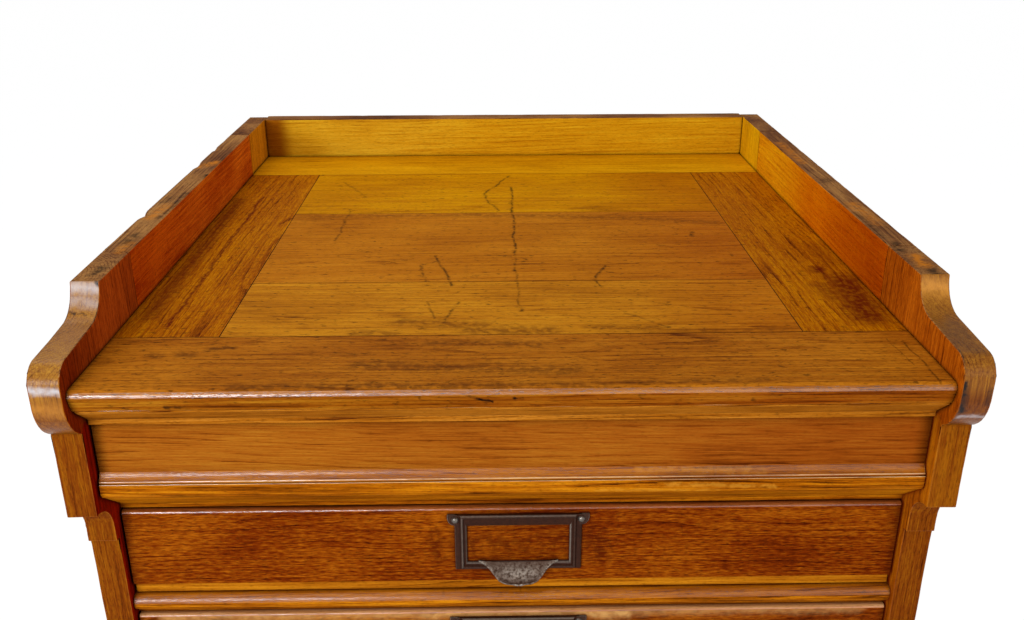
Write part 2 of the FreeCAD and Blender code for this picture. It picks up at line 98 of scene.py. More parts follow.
def new_material(name):
    """A material with an empty node tree."""
    material = bpy.data.materials.new(name)
    material.use_nodes = True
    material.node_tree.nodes.clear()
    return material, material.node_tree


def new_object(name, data):
    """An object in the scene that shows this data."""
    thing = bpy.data.objects.new(name, data)
    bpy.context.scene.collection.objects.link(thing)
    return thing


def oak_grain():
    """The figure of sawn oak, drawn in mm of the log that each board carries as its timber place. Its tone
    runs from pale at 0 through brown at a half to dark at 1."""
    strengths = ("Ring width", "Rings", "Streaks", "Fibres", "Dashes", "Pores", "Flecks", "Blotches", "Tone",
                 "Dents")
    tree, given = new_group("oak_grain", [("Color", ("Pale", "Brown", "Dark")), ("Float", strengths)],
                            [("Color", ("Colour",)), ("Float", ("Height",))])
    place = add(tree, "ShaderNodeAttribute", out="Vector", attribute_name="timber")

    # Each layer's size along, across and into the board in mm, and its detail. Real fibres are finer than a
    # pixel of the picture, so fibres and pores are drawn about twice as coarse as they are, to show.
    layers = {
        "Warp": ((420, 60, 60), 2), "Drift": ((700, 34, 34), 1), "Streaks": ((150, 3.0, 3.0), 4),
        "Fibres": ((30, 0.85, 0.85), 3), "Dashes": ((7.5, 1.1, 1.1), 3), "Pores": ((4.5, 0.5, 0.5), 1),
        "Blotches": ((120, 60, 60), 4), "Flecks": ((2.6, 12, 12), 2), "Batches": ((45, 11, 11), 2),
        "Dents": ((9, 6, 6), 2),
    }
    layer = {}
    for name, (size, detail) in layers.items():
        shrunk = add(tree, "ShaderNodeVectorMath", {0: place, 1: [1 / s for s in size]}, operation="MULTIPLY")
        found = {"Vector": shrunk, "Scale": 1.0, "Detail": detail}
        layer[name] = add(tree, "ShaderNodeTexNoise", found, out="Color" if name == "Warp" else 0)

    # Growth rings: the distance from the pith, pushed about by up to 13 mm, counted in ring widths. The pale
    # early wood takes the first third of each ring, and is faint where the batches are low.
    pushed = add(tree, "ShaderNodeVectorMath", {0: layer["Warp"], 1: (-0.5,) * 3}, operation="ADD")
    warped = {0: pushed, 1: (0, 26, 26), 2: place}
    pushed = add(tree, "ShaderNodeVectorMath", warped, operation="MULTIPLY_ADD")
    pushed = add(tree, "ShaderNodeVectorMath", {0: pushed, 1: (0, 1, 1)}, operation="MULTIPLY")
    radius = add(tree, "ShaderNodeVectorMath", {0: pushed}, out="Value", operation="LENGTH")
    count = add(tree, "ShaderNodeMath", {0: radius, 1: given["Ring width"]}, operation="DIVIDE")
    count = add(tree, "ShaderNodeMath", {0: layer["Drift"], 1: 3.0, 2: count}, operation="MULTIPLY_ADD")
    count = add(tree, "ShaderNodeMath", {0: layer["Fibres"], 1: 0.35, 2: count}, operation="MULTIPLY_ADD")
    count = add(tree, "ShaderNodeMath", {0: count}, operation="FRACT")
    early = add(tree, "ShaderNodeMapRange", {0: count, 1: 0.0, 2: 0.3, 3: 1.0, 4: 0.0})
    kept = add(tree, "ShaderNodeMapRange", {0: layer["Batches"], 1: 0.40, 2: 0.60, 3: 0.1, 4: 1.0})
    early = add(tree, "ShaderNodeMath", {0: early, 1: kept}, operation="MULTIPLY")

    # The tone adds up the rings, streaks, fibres and blotches about each board's own middle tone.
    tone = given["Tone"]
    for name in ("Streaks", "Fibres", "Dashes", "Blotches"):
        even = add(tree, "ShaderNodeMath", {0: layer[name], 1: 0.5}, operation="SUBTRACT")
        tone = add(tree, "ShaderNodeMath", {0: even, 1: given[name], 2: tone}, operation="MULTIPLY_ADD")
    tone = add(tree, "ShaderNodeMath", {0: early, 1: given["Rings"], 2: tone}, operation="MULTIPLY_ADD")
    first = add(tree, "ShaderNodeMapRange", {0: tone, 1: 0.0, 2: 0.5})
    second = add(tree, "ShaderNodeMapRange", {0: tone, 1: 0.5, 2: 1.0})
    colour = add(tree, "ShaderNodeMix", {0: first, 6: given["Pale"], 7: given["Brown"]}, 2, data_type="RGBA")
    colour = add(tree, "ShaderNodeMix", {0: second, 6: colour, 7: given["Dark"]}, 2, data_type="RGBA")

    # Ray flecks, the silver figure of boards sawn towards the pith, are pale.
    fleck = add(tree, "ShaderNodeMapRange", {0: layer["Flecks"], 1: 0.60, 2: 0.68})
    fleck = add(tree, "ShaderNodeMath", {0: fleck, 1: given["Flecks"]}, operation="MULTIPLY")
    colour = add(tree, "ShaderNodeMix", {0: fleck, 6: colour, 7: given["Pale"]}, 2, data_type="RGBA")

    # Open pores, thickest in each ring's early wood, hold old wax and dirt.
    open_in = add(tree, "ShaderNodeMath", {0: early, 1: 0.10, 2: layer["Pores"]}, operation="MULTIPLY_ADD")
    pore = add(tree, "ShaderNodeMapRange", {0: open_in, 1: 0.57, 2: 0.70})
    pore = add(tree, "ShaderNodeMath", {0: pore, 1: given["Pores"]}, operation="MULTIPLY")
    dirt = add(tree, "ShaderNodeMix", {0: 0.5, 6: given["Dark"], 7: linear("120802")}, 2, data_type="RGBA")
    colour = add(tree, "ShaderNodeMix", {0: pore, 6: colour, 7: dirt}, 2, data_type="RGBA")
    height = add(tree, "ShaderNodeMath", {0: pore, 1: -1.0, 2: layer["Fibres"]}, operation="MULTIPLY_ADD")
    dents = {0: layer["Dents"], 1: given["Dents"], 2: height}
    height = add(tree, "ShaderNodeMath", dents, operation="MULTIPLY_ADD")

    add(tree, "NodeGroupOutput", {"Colour": colour, "Height": height})
    return tree


OAK_GRAIN = oak_grain()
# The width of a year's growth in mm, and how far out of a corner painted shade and dirt reach, in metres.
RING_WIDTH = 3.2
NOOK_SHADE_REACH = 0.0035


def waxed_oak(name, pale, brown, dark, marks=None, fades=(), gloss=0.008, roughness=0.42, grime="260A00",
              reach=NOOK_SHADE_REACH, nooks=(0.4, 0.85), **figure):
    """Oak under old shellac and wax: warm and even, hardly glossy, with open pores that hold dirt. Figure
    gives strengths of the grain. Each fade tones the board by a shade along an axis, from none at its first
    place to all at its second, in metres. Painted shade and dirt darken nooks, between these shares of open
    sky."""
    material, tree = new_material(name)
    strengths = {
        "Ring width": RING_WIDTH, "Rings": 0.38, "Streaks": 0.95, "Fibres": 0.9, "Dashes": 0.3, "Pores": 0.45,
        "Flecks": 0.0, "Blotches": 0.9, "Tone": 0.38, "Dents": 0.0,
    }
    strengths.update({key.replace("_", " ").capitalize(): value for key, value in figure.items()})
    shades = {"Pale": linear(pale), "Brown": linear(brown), "Dark": linear(dark)}
    colour = add(tree, "ShaderNodeGroup", shades | strengths, "Colour", node_tree=OAK_GRAIN)
    height = colour.node.outputs["Height"]
    for axis, start, end, shade in fades:
        here = add(tree, "ShaderNodeTexCoord", out="Object")
        here = add(tree, "ShaderNodeSeparateXYZ", {0: here}, axis)
        toned = add(tree, "ShaderNodeMapRange", {0: here, 1: start, 2: end}, interpolation_type="SMOOTHSTEP")
        colour = add(tree, "ShaderNodeMix", {0: toned, 6: colour, 7: linear(shade)}, 2, data_type="RGBA",
                     blend_type="MULTIPLY")
    if marks:
        colour = marks(tree, colour)
    # Painted shade, with some dirt: the less open sky a point sees within reach, the darker its colour, as in
    # corners, gaps and under ledges.
    nook = add(tree, "ShaderNodeAmbientOcclusion", {"Distance": reach}, out="AO", samples=4)
    clean = add(tree, "ShaderNodeMapRange", {0: nook, 1: nooks[0], 2: nooks[1]})
    colour = add(tree, "ShaderNodeMix", {0: clean, 6: linear(grime), 7: colour}, 2, data_type="RGBA")
    # Pores are duller than the wax between them, and up to 0.4 mm deep.
    rough = {0: height, 1: -0.5, 2: 1.0, 3: roughness + 0.14, 4: roughness - 0.06}
    bump = {"Strength": 0.35, "Distance": 0.0004, "Height": height}
    shader = add(tree, "ShaderNodeBsdfPrincipled", {
        "Base Color": colour,
        "Roughness": add(tree, "ShaderNodeMapRange", rough),
        "Normal": add(tree, "ShaderNodeBump", bump),
        "Specular IOR Level": gloss,
    })
    add(tree, "ShaderNodeOutputMaterial", {"Surface": shader})
    return material


# Scratches hold dark wax. Marks are placed from the seam between the front board and the planks.
SCRATCH_SHADE = "1C0C05"
FRONT_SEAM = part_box("top_planks")[0].y


def scratch():
    """How strongly one scratch or stain shows: fully along its run, fading out over its width in mm."""
    places, measures = ("Vector", ("Place", "Start", "Run")), ("Float", ("Width", "Strength"))
    tree, given = new_group("scratch", [places, measures], [("Float", ("Shown",))])
    run = given["Run"]
    off = add(tree, "ShaderNodeVectorMath", {0: given["Place"], 1: given["Start"]}, operation="SUBTRACT")
    gone = add(tree, "ShaderNodeVectorMath", {0: off, 1: run}, out="Value", operation="DOT_PRODUCT")
    whole = add(tree, "ShaderNodeVectorMath", {0: run, 1: run}, out="Value", operation="DOT_PRODUCT")
    part = add(tree, "ShaderNodeMath", {0: gone, 1: whole}, operation="DIVIDE", use_clamp=True)
    nearest = add(tree, "ShaderNodeVectorMath", {0: run, "Scale": part}, operation="SCALE")
    away = add(tree, "ShaderNodeVectorMath", {0: off, 1: nearest}, out="Value", operation="DISTANCE")
    fading = {0: away, 1: 0.0, 2: given["Width"], 3: given["Strength"], 4: 0.0}
    shown = add(tree, "ShaderNodeMapRange", fading, interpolation_type="SMOOTHSTEP")
    add(tree, "NodeGroupOutput", {"Shown": shown})
    return tree


SCRATCH = scratch()


def in_plane(x, y, upright):
    """A place on a top or, upright, on a front."""
    return (x, 0, y) if upright else (x, y, 0)


def marked(groups, upright=False, specks=0.6, broken=0.3):
    """Draws groups of marks, each a shade and a list of runs, over a finish's colour. A run is in mm: from
    one place to another, width and strength, by x and y from the front seam or, upright, by x and z. The
    lower broken is, the more the marks break up. Dark specks lie all over."""
    def draw(tree, colour):
        here = add(tree, "ShaderNodeTexCoord", out="Object")
        place = add(tree, "ShaderNodeVectorMath", {0: here, 1: (0, -FRONT_SEAM, 0)}, operation="ADD")
        in_mm = {0: place, 1: in_plane(1000, 1000, upright)}
        place = add(tree, "ShaderNodeVectorMath", in_mm, operation="MULTIPLY")
        # Two noises push a mark off its straight run, by up to half of the mm beside their scales.
        for scale, push in ((45, 6), (300, 3.0)):
            coarse = {"Vector": here, "Scale": scale, "Detail": 1.0}
            shake = add(tree, "ShaderNodeTexNoise", coarse, out="Color")
            shake = add(tree, "ShaderNodeVectorMath", {0: shake, 1: (-0.5,) * 3}, operation="ADD")
            shaken = {0: shake, 1: (push,) * 3, 2: place}
            place = add(tree, "ShaderNodeVectorMath", shaken, operation="MULTIPLY_ADD")
        gaps = add(tree, "ShaderNodeTexNoise", {"Vector": here, "Scale": 170, "Detail": 3.0})
        gaps = add(tree, "ShaderNodeMapRange", {0: gaps, 1: 0.40, 2: 0.55, 3: broken, 4: 1.25})
        flat = {0: place, 1: in_plane(1, 1, upright)}
        place = add(tree, "ShaderNodeVectorMath", flat, operation="MULTIPLY")
        # A speck is about 2 mm wide and 8 mm long.
        thin = add(tree, "ShaderNodeVectorMath", {0: place, 1: (0.12, 0.4, 0.4)}, operation="MULTIPLY")
        speck = add(tree, "ShaderNodeTexNoise", {"Vector": thin, "Scale": 1.0, "Detail": 2.0})
        speck = add(tree, "ShaderNodeMapRange", {0: speck, 1: 0.61, 2: 0.70, 3: 0.0, 4: specks})
        specked = {0: speck, 6: colour, 7: linear(SCRATCH_SHADE)}
        colour = add(tree, "ShaderNodeMix", specked, 2, data_type="RGBA")
        for shade, runs in groups:
            total = 0.0
            for x, y, to_x, to_y, width, strength in runs:
                start, run = in_plane(x, y, upright), in_plane(to_x - x, to_y - y, upright)
                line = {"Place": place, "Start": start, "Run": run, "Width": width, "Strength": strength}
                mark = add(tree, "ShaderNodeGroup", line, node_tree=SCRATCH)
                total = add(tree, "ShaderNodeMath", {0: total, 1: mark}, operation="MAXIMUM")
            total = add(tree, "ShaderNodeMath", {0: total, 1: gaps}, operation="MULTIPLY")
            colour = add(tree, "ShaderNodeMix", {0: total, 6: colour, 7: linear(shade)}, 2, data_type="RGBA")
        return colour
    return draw


def solids_of(node):
    """The faces of a CAD node as lists of corners, in one run for each closed solid."""
    mesh = frame["nodes"][node].data
    runs, run, open_edges = [], [], set()
    for face in mesh.polygons:
        corners = [tuple(round(v, 6) for v in mesh.vertices[at].co) for at in face.vertices]
        for edge in zip(corners, corners[1:] + corners[:1]):
            if edge[::-1] in open_edges:
                open_edges.remove(edge[::-1])
            else:
                open_edges.add(edge)
        if len(set(corners)) == len(corners):
            run.append(corners)
        if not open_edges:
            runs.append(run)
            run = []
    return runs


# In mm: how far an arris of the frames is eased. In radians: the bends that count as an arris or as flat.
FRAME_ARRIS = 0.9
SHARP = 0.5
FLAT = 0.01


def eased_board(corners_of_faces, arris, step, wear, nicks):
    """One closed solid as a mesh, its arrises eased by arris mm, cut into steps of step mm and worn by about
    wear mm, or more at each nick, which is a place, a reach in mm and a depth. Gives it with its low and high
    corners and its axes along the grain, across it and into the board."""
    board = bmesh.new()
    places = dict.fromkeys(at for face in corners_of_faces for at in face)
    corner = {at: board.verts.new(at) for at in places}
    for face in corners_of_faces:
        board.faces.new([corner[at] for at in face])
    bmesh.ops.dissolve_limit(board, angle_limit=FLAT, verts=board.verts[:], edges=board.edges[:])
    low = Vector(min(v.co[axis] for v in board.verts) for axis in range(3))
    high = Vector(max(v.co[axis] for v in board.verts) for axis in range(3))
    axes = sorted(range(3), key=lambda axis: low[axis] - high[axis])
    square = Vector(axis == axes[0] for axis in range(3))
    steps = int((high - low)[axes[0]] * 1000 / step) if step else 0
    for cut in range(1, steps):
        everything = board.verts[:] + board.edges[:] + board.faces[:]
        bmesh.ops.bisect_plane(board, geom=everything, plane_co=low + square * cut * step / 1000,
                               plane_no=square)
    sharp = [e for e in board.edges if e.is_manifold and e.is_convex and e.calc_face_angle() > SHARP]
    done = bmesh.ops.bevel(board, geom=sharp, offset=arris / 1000, offset_type="OFFSET", segments=2,
                           profile=0.5, affect="EDGES", clamp_overlap=False, material=1)
    board.normal_update()
    for vert in done["verts"] if wear else ():
        # Wear comes and goes every few centimetres, and again every centimetre.
        rub = wear * max(0.0, noise.noise(vert.co * 38) + 0.6 * noise.noise(vert.co * 140))
        for x, y, z, reach, deep in nicks:
            rub += deep * max(0.0, 1 - (vert.co - Vector((x, y, z))).length * 1000 / reach)
        worn = vert.co - vert.normal * rub / 1000
        vert.co = [min(max(value, least), most) for value, least, most in zip(worn, low, high)]
    board.normal_update()
    return board, low, high, axes


def eased(name, node, slot, finishes, pick=None, arris=FRAME_ARRIS, step=0, wear=0.0, nicks=()):
    """Boards with eased arrises in place of a CAD node's. Pick names the finish of a face. Where it names
    none, that is plain or, on an arris, the arris finish if there is one. Each board carries its place in its
    log in mm: along the grain, then across and into the board from the pith."""
    points, faces, kinds, places = [], [], [], []
    names = list(finishes)
    for number, run in enumerate(solids_of(node)):
        board, low, high, (along, across, into) = eased_board(run, arris, step, wear, nicks)
        # The pith is up to 110 mm aside of the board and 45 to 120 mm under it.
        log = random.Random(f"{node} {number}")
        aside, under = log.uniform(-110, 110), -log.uniform(45, 120)
        start, lean = log.uniform(0, 3000), log.uniform(-0.03, 0.03)
        middle = (low + high) / 2
        board.verts.index_update()
        for face in board.faces:
            faces.append([len(points) + v.index for v in face.verts])
            usual = "arris" if face.material_index and "arris" in finishes else "plain"
            chosen = pick(number, face) if pick else None
            kinds.append(names.index(chosen or usual))
        for vert in board.verts:
            off = (vert.co - middle) * 1000
            places += [start + off[along], off[across] - aside + lean * off[along], off[into] - under]
        points += [tuple(v.co) for v in board.verts]
        board.free()

    mesh = bpy.data.meshes.new(name)
    mesh.from_pydata(points, [], faces)
    for finish in finishes.values():
        mesh.materials.append(finish)
    mesh.polygons.foreach_set("material_index", kinds)
    mesh.attributes.new("timber", "FLOAT_VECTOR", "POINT").data.foreach_set("vector", places)
    mesh.shade_smooth()
    mesh.set_sharp_from_angle(angle=0.7)
    piece = new_object(name, mesh)
    even = piece.modifiers.new("even_faces", "WEIGHTED_NORMAL")
    even.keep_sharp = True
    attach(piece, frame["nodes"][node]["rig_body"])
    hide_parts(node)
    return piece


# Marks on the gallery's top edges: dark water and ink stains, and golden patches of rubbed stain.
EDGE_STAINS = (
    (-303, -15, -302, -30, 6, 0.95), (-311, 10, -308, 24, 7, 0.7), (-310, 104, -312, 80, 9, 0.5),
    (-304, 150, -303, 230, 5, 0.55), (-301, 286, -301, 296, 4, 0.9), (-316, 200, -312, 214, 8, 0.35),
    (306, 50, 309, 66, 8, 0.6), (311, -6, 312, 6, 7, 0.6), (304, 80, 304, 150, 6, 0.4),
    (306, 254, 312, 262, 10, 0.4), (303, -26, 304, -20, 5, 0.5),
)
EDGE_PATCHES = (
    (-317, 330, -306, 346, 12, 0.7), (-308, 190, -312, 150, 10, 0.5), (-308, 82, -306, 60, 9, 0.5),
    (310, 14, 312, 34, 10, 0.7), (312, 120, 310, 180, 11, 0.5), (308, 330, 308, 420, 10, 0.5),
)
# On the scrolls, by x and z: dark stains, painted sheen and highlights on the left scroll's hollow and bulge
# and along the right scroll's foot, and golden rubbed patches.
SCROLL_STAINS = (
    (-321, 923, -317, 922, 1.5, 0.6), (-314, 922, -308, 921, 1.0, 0.5), (-303, 942, -300, 938, 3, 0.9),
    (303, 917, 316, 916, 4, 0.3), (302, 897, 303, 876, 4.5, 0.95), (301, 914, 301, 906, 2, 0.8),
    (321, 893, 319, 882, 4, 0.4),
)
SCROLL_PAINTED_SHEEN = ((-322, 938, -300, 937, 9, 0.42), (-322, 929, -300, 928, 7, 0.3),
                (-322, 899, -300, 898, 5, 0.65), (303, 870, 321, 870, 3, 0.35))
SCROLL_PATCHES = ((302, 934, 322, 932, 12, 0.5), (-322, 886, -300, 884, 10, 0.3))

# The frames outside: oak stained brown under thin shellac and wax, dull and even.
frame_oak = waxed_oak("waxed_frame_oak", "935209", "753506", "411403", dashes=0.8)
# Arrises: rubbed through the stain, so a thin line of paler and slightly shinier wood.
frame_arris = waxed_oak("rubbed_oak_arris", "A8640C", "844008", "4A1A02", gloss=0.06)
# The gallery's top edges: finish rubbed off by hands, the bare wood gone grey-brown, blotchy and stained.
frame_edge_oak = waxed_oak("rubbed_gallery_edge_oak", "A7743D", "744625", "2C1613", rings=0.6, blotches=1.6,
                           marks=marked((("C07018", EDGE_PATCHES), ("14100E", EDGE_STAINS)), specks=0.4))
# The scrolls' edges: end grain filed round and polished by hands, with fine rings, few pores and some gloss.
# Painted shade makes them darker below the bulge, and the right scroll darker than the left.
scroll_marks_and_sheen = marked((("C4BCBC", SCROLL_PAINTED_SHEEN), ("D89038", SCROLL_PATCHES), ("1E1614", SCROLL_STAINS)),
                      upright=True, specks=0.2, broken=0.8)
scroll_oak = waxed_oak("polished_scroll_end_grain", "B67F24", "8B5419", "371706", gloss=0.14, roughness=0.3,
                       rings=0.35, pores=0.25, blotches=0.5, streaks=0.6, dents=0.15, marks=scroll_marks_and_sheen,
                       fades=((2, 0.898, 0.884, "D5B765"), (0, 0.0, 0.3, "E8DCD8")))
# Inside the gallery: quiet oak with silver flecks under thicker shellac. Stiles and rail differ in tone,
# which breaks off at their joints. The sides are lit and shaded copies: painted shade makes the left faces
# redder, painted light makes the right ones gold, and painted shade darkens the galleries and the left scroll
# face towards the front. Beside the drawers the stiles are painted deep red shade, near black in the corners,
# on the left, and browner on the right.
GALLERY_FIGURE = {"flecks": 0.35, "rings": 0.15, "streaks": 0.7, "blotches": 1.0}
REAR_FIGURE = {"flecks": 0.3, "rings": 0.2}
lit_and_shaded_inner_finishes = {
    "left": {
        "gallery": waxed_oak("shaded_left_gallery_oak", "FE871C", "C64D0A", "6F1D04", **GALLERY_FIGURE,
                             fades=((1, 0.05, -0.15, "E8C8A0"),)),
        "edge": frame_edge_oak,
        "scroll": scroll_oak,
        "inner stile": waxed_oak("shaded_stile_oak", "AA2104", "7A1100", "350400", grime="140300"),
        "rear stile": waxed_oak("waxed_left_rear_stile_oak", "F9AD20", "D3830E", "863F04", **REAR_FIGURE),
        "scroll face": waxed_oak("shaded_left_scroll_face_oak", "D9631C", "AD460E", "581602", dashes=0.9,
                                 fades=((1, -0.27, -0.33, "B48C78"),)),
    },
    "right": {
        "gallery": waxed_oak("lit_right_gallery_oak", "F2B00E", "D78206", "7E3702", **GALLERY_FIGURE,
                             fades=((1, 0.16, 0.0, "E4B068"), (1, 0.0, -0.16, "DCC0A8"))),
        "edge": frame_edge_oak,
        "scroll": scroll_oak,
        "inner stile": waxed_oak("lit_right_stile_inner_oak", "C4700A", "9C4C06", "561E02", grime="6A1804"),
        "rear stile": waxed_oak("waxed_right_rear_stile_oak", "EAB40D", "D19206", "8A4D01", **REAR_FIGURE),
        "scroll face": waxed_oak("lit_right_scroll_face_oak", "C1620D", "9A4404", "551901", dashes=0.9),
    },
}

# Where one finish of the frames ends and the next begins.
TOP_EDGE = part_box("top_front_board")[1].y
TOP_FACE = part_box("top_planks")[1].z
SCROLL_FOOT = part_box("bed_moulding")[0].z
FRONT_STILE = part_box("side_left_front_stile")[1].y
REAR_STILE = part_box("side_left_rear_stile")[0].y


def frame_finish(number, face):
    """The scroll's edge, the gallery's top edges and the inner faces each have a finish of their own."""
    middle, normal = face.calc_center_median(), face.normal
    if abs(normal.x) > 0.7:
        if normal.x * middle.x > 0:
            return "plain"
        if middle.z < SCROLL_FOOT:
            return "inner stile"
        if middle.y < FRONT_STILE:
            return "scroll face"
        return "rear stile" if middle.y > REAR_STILE else "gallery"
    if middle.y < TOP_EDGE and middle.z > SCROLL_FOOT and abs(normal.x) < 0.3:
        return "scroll"
    return "edge" if normal.z > 0.5 and middle.z > TOP_FACE else None


# The left gallery's outer edge is nicked: each place in metres, then its reach and depth in mm.
LEFT_NICKS = ((-0.322, -0.087, 0.9424, 9, 3.2), (-0.322, 0.09, 0.9424, 14, 1.6),
              (-0.322, 0.16, 0.9424, 8, 1.5))
for side, inner in lit_and_shaded_inner_finishes.items():
    finishes = {"plain": frame_oak, "arris": frame_arris, **inner}
    for part in ("front_stile", "rear_stile", "rails", "panels"):
        worn = {} if part == "panels" else {"step": 7, "wear": 0.5, "nicks": LEFT_NICKS}
        eased(f"{side}_{part}", f"side_{side}_{part}", "frame_oak", finishes, pick=frame_finish, **worn)

# Carcase behind and below. Bearers, runners, stops, back boards, bottom board and glue blocks are planed
# softwood, glued and nailed in where nobody looks and left bare. Only the oak plinth rail in front is waxed.
# Their arrises are eased finely, in mm.
FINE_ARRIS = 0.5
# Bare softwood is pale, dull and straight, with faint rings and no open pores.
softwood = waxed_oak("bare_softwood", "D8B078", "B88C54", "7C5428", rings=0.3, pores=0.0)
for node in ("top_bearers", "drawer_runners", "drawer_stops", "back_bottom_rail", "back_boards",
             "bottom_board", "glue_blocks"):
    eased(f"bare_{node}", node, "carcase_softwood", {"plain": softwood}, arris=FINE_ARRIS)
eased("waxed_plinth_rail", "plinth_rail", "frame_oak", {"plain": frame_oak}, arris=FINE_ARRIS)

# The top. A front board with a rounded nosing, two side boards, a back board and three planks between them,
# all of 16.5 mm oak, lie flush on bearers, and the gallery's back board stands behind them. Shellac and wax
# have gone golden on them, and years of desk work have scratched and stained them.
TOP_ARRIS = 0.45
PLANK_SCRATCHES = (
    (3, 462, -25, 387, 2.4, 0.6), (-25, 387, -23, 367, 2.6, 0.6), (-23, 367, -9, 324, 2.4, 0.5),
    (5.5, 414, 5.5, 187, 2.4, 0.65), (5.5, 187, 7, 50, 1.9, 0.35), (-165, 331, -165, 227, 2.6, 0.45),
    (-187, 441, -153, 377, 2.4, 0.35), (-67, 181, -50, 104, 2.4, 0.6), (-80, 157, -72, 114, 2.2, 0.5),
    (-78, 157, -60, 168, 2.0, 0.4), (85, 149, 73, 114, 2.4, 0.6), (73, 114, 78, 97, 2.2, 0.6),
    (181, 247, 177, 231, 3.4, 0.8), (-43, 66, -55, 17, 2.4, 0.5), (21, 416, 21, 416, 4.5, 0.7),
    (-217, 474, -217, 474, 5.0, 0.9), (5, 141, 5, 139, 3.2, 0.7), (7, 48, 7, 46, 3.2, 0.6),
    (-140, 196, -128, 192, 2.4, 0.5), (120, 60, 128, 57, 2.6, 0.5), (140, 205, 150, 203, 2.4, 0.4),
    (-68, 66, -60, 30, 2.2, 0.4), (90, 40, 120, 12, 2.4, 0.35), (-20, 180, 2, 176, 2.2, 0.5),
    (14, 170, 16, 168, 2.6, 0.6), (110, 252, 116, 248, 2.4, 0.5), (160, 262, 168, 255, 2.4, 0.4),
)
PLANK_STAINS = (
    (-33, 9, 27, 6, 16, 0.5), (-86, 25, -20, 16, 15, 0.45), (60, 12, 110, 10, 10, 0.4),
    (-210, 300, -190, 300, 16, 0.25), (-200, 306, -40, 308, 13, 0.35), (-40, 308, 110, 296, 13, 0.4),
    (110, 296, 214, 274, 12, 0.4), (-120, 6, -90, 4, 9, 0.4), (120, 4, 210, 3, 7, 0.3),
)
SIDE_STAINS = (
    (274, 137, 270, 132, 13, 0.75), (272, 54, 268, 46, 11, 0.7), (268, 140, 268, 142, 7, 0.5),
    (-290, 370, -284, 40, 14, 0.5), (-267, 380, -265, 20, 2.5, 0.7), (292, 20, 288, 120, 8, 0.35),
    (286, 110, 280, 30, 30, 0.75), (262, 96, 266, 70, 18, 0.5), (288, 200, 286, 150, 16, 0.3),
)
FRONT_SCRATCHES = (
    (289, -22, 290, -91, 1.4, 0.55), (278, -14, 281, -60, 1.0, 0.4), (-10, -60, -9, -66, 2.5, 0.8),
    (84, -80, 84, -84, 3, 0.7), (-130, -30, -104, -34, 1.5, 0.5),
)
FRONT_STAINS = (
    (-259, -33, -255, -33, 8, 0.5), (-239, -30, -232, -31, 9, 0.45), (-222, -22, -205, -21, 6, 0.6),
    (-110, -52, 40, -62, 14, 0.4), (-60, -14, 20, -18, 10, 0.4), (-290, -40, -288, -42, 5, 0.6),
    (-190, -84, 60, -86, 9, 0.45), (60, -84, 170, -80, 7, 0.4),
)

# The planks: dull waxed oak in three tones, each from its own log, and scratches that run across the seams.
plank_marks = marked(((SCRATCH_SHADE, PLANK_SCRATCHES), ("5A2A08", PLANK_STAINS)))
plank_shades = (("D08C1B", "B46D0F", "713806"), ("C47B17", "AD630C", "6C3307"),
                ("D29200", "B97300", "864900"))
plank_oaks = {}
for at, shades in enumerate(plank_shades):
    plank_oaks[f"plank {at}"] = waxed_oak(f"waxed_plank_oak_{at}", *shades, marks=plank_marks,
                                          fades=((0, 0.06, 0.2, "F0DCD0"),))
# The front board: the same oak, browner and with more open pores where arms and papers have rubbed it.
top_front_oak = waxed_oak("waxed_top_front_oak", "BF7518", "9C550C", "542006", pores=0.6,
                          marks=marked(((SCRATCH_SHADE, FRONT_SCRATCHES), ("4A2208", FRONT_STAINS))))
# The side boards: stronger figure, with broad red-brown stains.
top_side_oak = waxed_oak("waxed_top_side_oak", "C57B00", "9D5100", "581C00", rings=0.5, streaks=0.7,
                         blotches=0.6, dashes=0.9, marks=marked((("5A1404", SIDE_STAINS),), broken=0.8))
# The back board and the gallery's back board: hardly touched, so clean honey yellow, the upright one palest.
top_back_oak = waxed_oak("waxed_honey_oak", "DD9D0C", "C58203", "874702", rings=0.3)
gallery_back_oak = waxed_oak("waxed_pale_honey_oak", "DBAE28", "C78E13", "9B5E08", rings=0.25, pores=0.4,
                             fades=((0, -0.264, -0.286, "B08860"), (0, -0.18, 0.0, "F8ECA8")))
# The arrises along the seams: dark with the dirt that a duster leaves in them.
top_arris = waxed_oak("grimy_top_arris", "7A4412", "4A240A", "241004")
# The nosing: bright and a little dented where forearms have polished its round, plain waxed oak below.
nosing_polish = waxed_oak("polished_nosing_oak", "B87018", "92500C", "421A04", gloss=0.9, roughness=0.25,
                          pores=0.8, dents=0.25)
NOSING_NICKS = (
    (-28, 889, -22, 885.5, 2.2, 0.95), (-22, 885.5, -16, 884.5, 2.0, 0.8), (0, 886.5, 5, 886, 2.4, 0.9),
    (-236, 881, -222, 881, 3.0, 0.6), (84, 890, 88, 890, 3, 0.6), (-30, 891, -34, 892, 3, 0.5),
)
nosing_oak = waxed_oak("waxed_nosing_oak", "AA6B14", "8B4706", "421300", streaks=1.5, rings=0.6, reach=0.006,
                       fades=((0, -0.2, 0.2, "F0DCDC"),),
                       marks=marked(((SCRATCH_SHADE, NOSING_NICKS),), upright=True, specks=0.5))


def nosing_finish(number, face):
    """The nosing's round is polished by arms, and its undercut face stays as it was waxed."""
    if face.normal.y > -0.25:
        return None
    if face.normal.z > 0.8:
        return "plain"
    return "polish" if face.normal.z > 0.1 else "undercut"


def gallery_back_finish(number, face):
    """Rubbed on its top edge, and stained like the frames behind."""
    if face.normal.z > 0.2:
        return "edge"
    return "rear" if face.normal.y > 0.5 else "plain"


